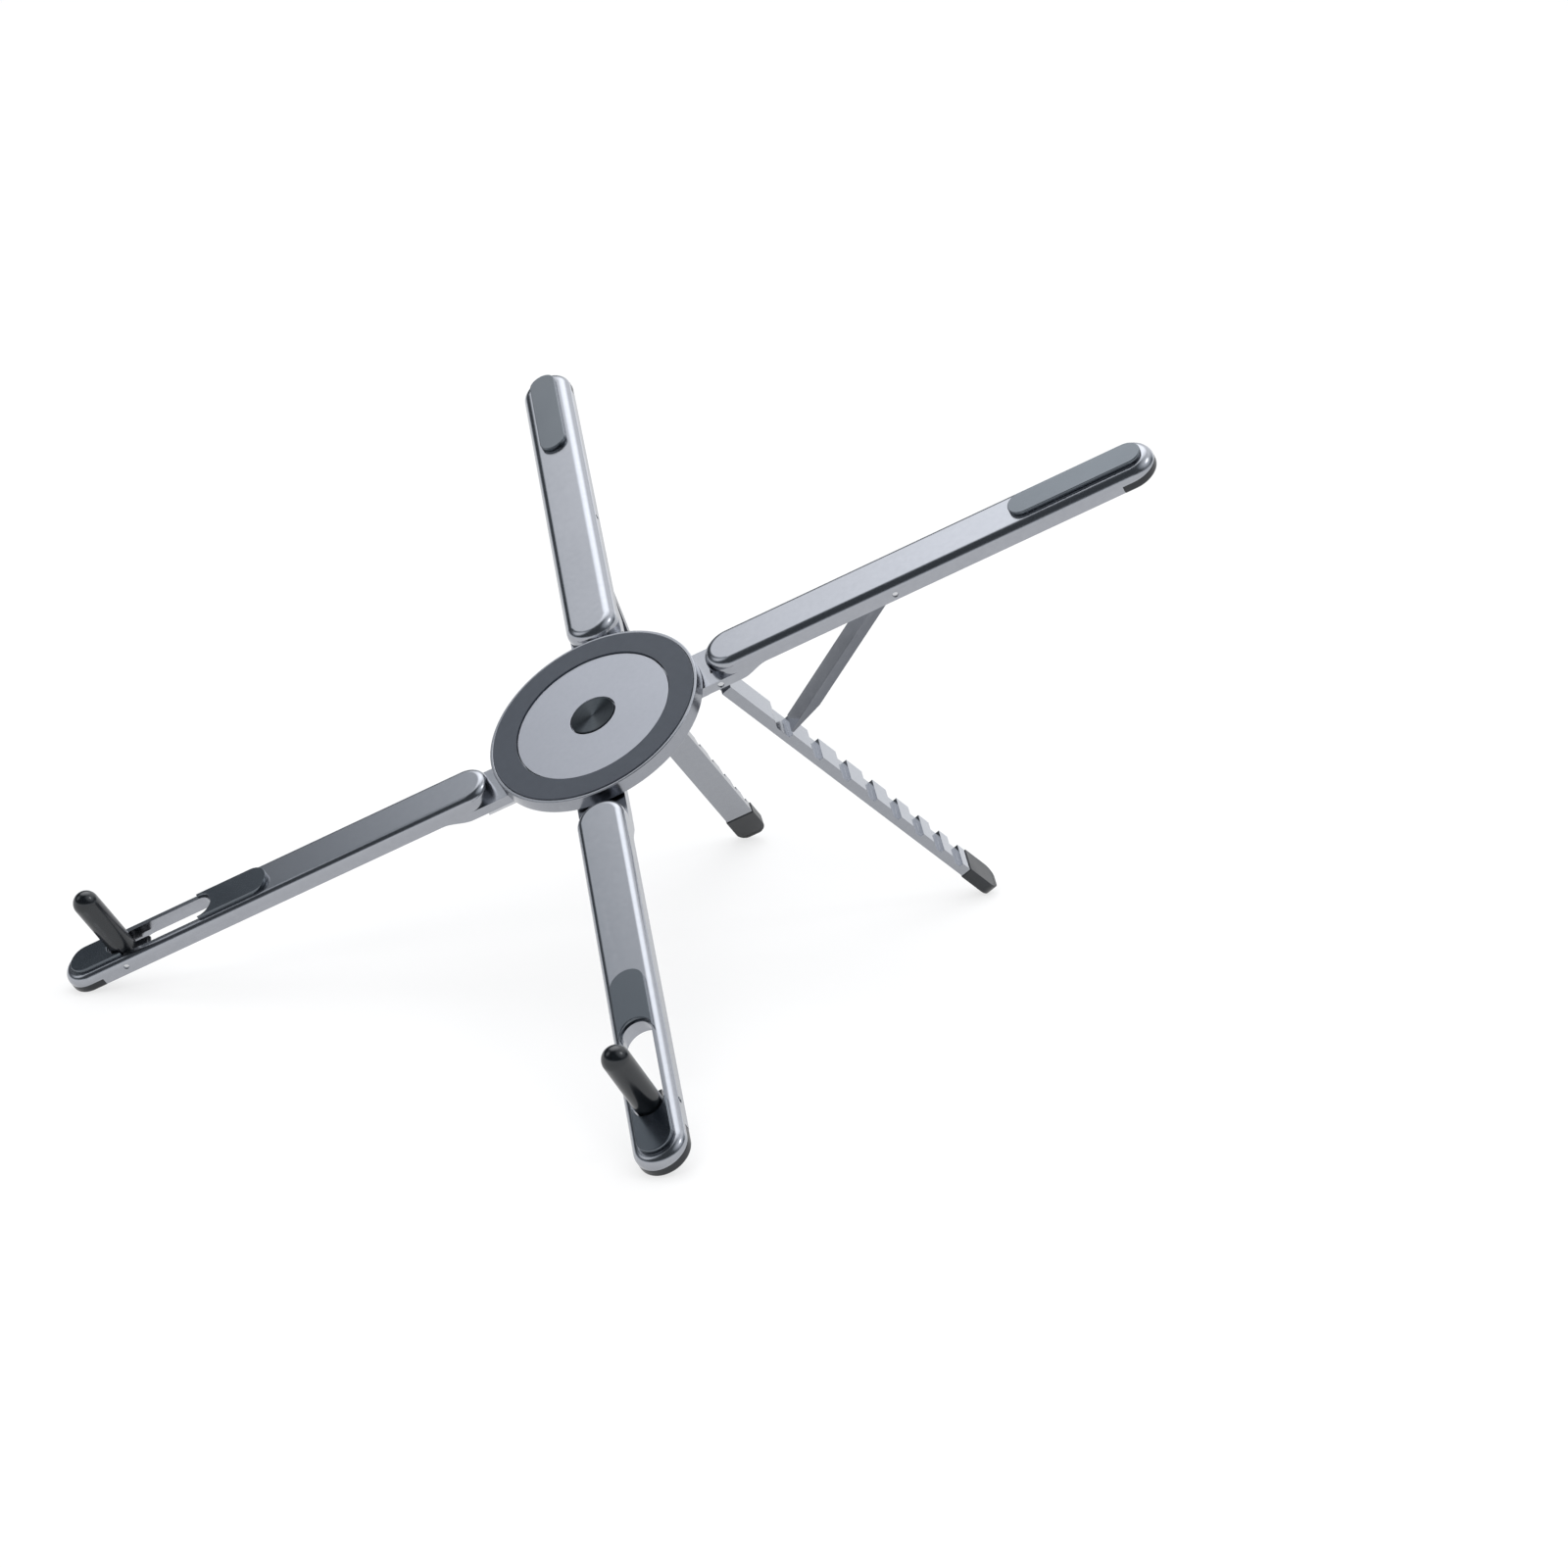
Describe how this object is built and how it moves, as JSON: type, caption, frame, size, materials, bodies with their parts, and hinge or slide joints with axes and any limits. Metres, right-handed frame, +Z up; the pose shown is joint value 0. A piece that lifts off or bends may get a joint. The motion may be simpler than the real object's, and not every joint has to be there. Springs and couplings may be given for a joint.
{
  "type": "laptop stand",
  "caption": "Folding X-shaped laptop stand with a round hub, swinging arms, fold-up front hooks, notched back legs and tapered props.",
  "frame": {"origin": "on the table, under the middle of the open stand's outline", "axes": "+X to the stand's right, +Y from the front hooks to the raised back, +Z up from the table"},
  "size_m": [0.2322, 0.213, 0.1394],
  "materials": {
    "grey_aluminium": "satin grey anodised, fine bead-blast",
    "steel": "bright, finely brushed",
    "dark_button": "dark anodised with circular turning marks",
    "grey_rubber": "dark grey silicone, matt",
    "black_rubber": "black, satin",
    "hook_black": "black silicone sleeve, satin"
  },
  "bodies": {
    "hub": {"hub_cup": "grey_aluminium", "hub_rubber_ring": "grey_rubber", "hub_top_disc": "grey_aluminium", "hub_button": "dark_button", "hub_axle": "steel"},
    "front_half": {"front_carrier": "grey_aluminium", "front_rivets": "steel"},
    "back_half": {"back_carrier": "grey_aluminium", "back_rivets": "steel"},
    "front_left_arm": {"front_left_arm": "grey_aluminium", "front_left_neck_plate": "steel", "front_left_tip_cap": "black_rubber", "left_tip_pad": "grey_rubber", "left_grip_pad": "grey_rubber", "left_hook_pin": "steel"},
    "back_left_arm": {"back_left_arm": "grey_aluminium", "back_left_neck_plate": "steel", "back_left_tip_cap": "black_rubber", "back_left_neck_screws": "steel", "left_back_pad": "grey_rubber", "left_leg_pin": "steel", "left_strut_pin": "steel"},
    "front_right_arm": {"front_right_arm": "grey_aluminium", "front_right_neck_plate": "steel", "front_right_tip_cap": "black_rubber", "right_tip_pad": "grey_rubber", "right_grip_pad": "grey_rubber", "right_hook_pin": "steel"},
    "back_right_arm": {"back_right_arm": "grey_aluminium", "back_right_neck_plate": "steel", "back_right_tip_cap": "black_rubber", "back_right_neck_screws": "steel", "right_back_pad": "grey_rubber", "right_leg_pin": "steel", "right_strut_pin": "steel"},
    "left_hook": {"left_hook": "hook_black"},
    "right_hook": {"right_hook": "hook_black"},
    "left_leg": {"left_leg": "grey_aluminium", "left_foot": "black_rubber"},
    "right_leg": {"right_leg": "grey_aluminium", "right_foot": "black_rubber"},
    "left_strut": {"left_strut": "grey_aluminium"},
    "right_strut": {"right_strut": "grey_aluminium"}
  },
  "joints": [
    {"name": "front_fold", "type": "hinge", "parent": "hub", "child": "front_half", "pos_m": [0, 0.001, 0.06283], "axis": [1, 0, 0], "range_deg": [0, 90]},
    {"name": "back_fold", "type": "hinge", "parent": "hub", "child": "back_half", "pos_m": [0, 0.001, 0.06283], "axis": [-1, 0, 0], "range_deg": [0, 90]},
    {"name": "front_left_swing", "type": "hinge", "parent": "front_half", "child": "front_left_arm", "pos_m": [-0.0082, -0.01368, 0.06096], "axis": [0, -0.5615, 0.8275], "range_deg": [0, 45]},
    {"name": "back_left_swing", "type": "hinge", "parent": "back_half", "child": "back_left_arm", "pos_m": [-0.0082, 0.00816, 0.07578], "axis": [0, 0.5615, -0.8275], "range_deg": [0, 45]},
    {"name": "front_right_swing", "type": "hinge", "parent": "front_half", "child": "front_right_arm", "pos_m": [0.0082, -0.01368, 0.06096], "axis": [0, 0.5615, -0.8275], "range_deg": [0, 45]},
    {"name": "back_right_swing", "type": "hinge", "parent": "back_half", "child": "back_right_arm", "pos_m": [0.0082, 0.00816, 0.07578], "axis": [0, -0.5615, 0.8275], "range_deg": [0, 45]},
    {"name": "left_hook_fold", "type": "hinge", "parent": "front_left_arm", "child": "left_hook", "pos_m": [-0.10083, -0.09146, 0.01061], "axis": [-0.7071, 0.5851, 0.397], "range_deg": [0, 90]},
    {"name": "right_hook_fold", "type": "hinge", "parent": "front_right_arm", "child": "right_hook", "pos_m": [0.10083, -0.09146, 0.01061], "axis": [-0.7071, -0.5851, -0.397], "range_deg": [0, 90]},
    {"name": "left_leg_fold", "type": "hinge", "parent": "back_left_arm", "child": "left_leg", "pos_m": [-0.02234, 0.02071, 0.08248], "axis": [0.7071, 0.5851, 0.397], "range_deg": [0, 72.4]},
    {"name": "right_leg_fold", "type": "hinge", "parent": "back_right_arm", "child": "right_leg", "pos_m": [0.02234, 0.02071, 0.08248], "axis": [0.7071, -0.5851, -0.397], "range_deg": [0, 72.4]},
    {"name": "left_strut_fold", "type": "hinge", "parent": "back_left_arm", "child": "left_strut", "pos_m": [-0.05968, 0.05009, 0.10568], "axis": [0.7071, 0.5851, 0.397], "range_deg": [0, 143.68]},
    {"name": "right_strut_fold", "type": "hinge", "parent": "back_right_arm", "child": "right_strut", "pos_m": [0.05968, 0.05009, 0.10568], "axis": [0.7071, -0.5851, -0.397], "range_deg": [0, 143.68]}
  ],
  "couplings": [
    {"joint": "left_leg_fold", "follows": "back_fold", "ratio": 0.80444},
    {"joint": "right_leg_fold", "follows": "back_fold", "ratio": 0.80444},
    {"joint": "left_strut_fold", "follows": "back_fold", "ratio": 1.5965},
    {"joint": "right_strut_fold", "follows": "back_fold", "ratio": 1.5965}
  ]
}
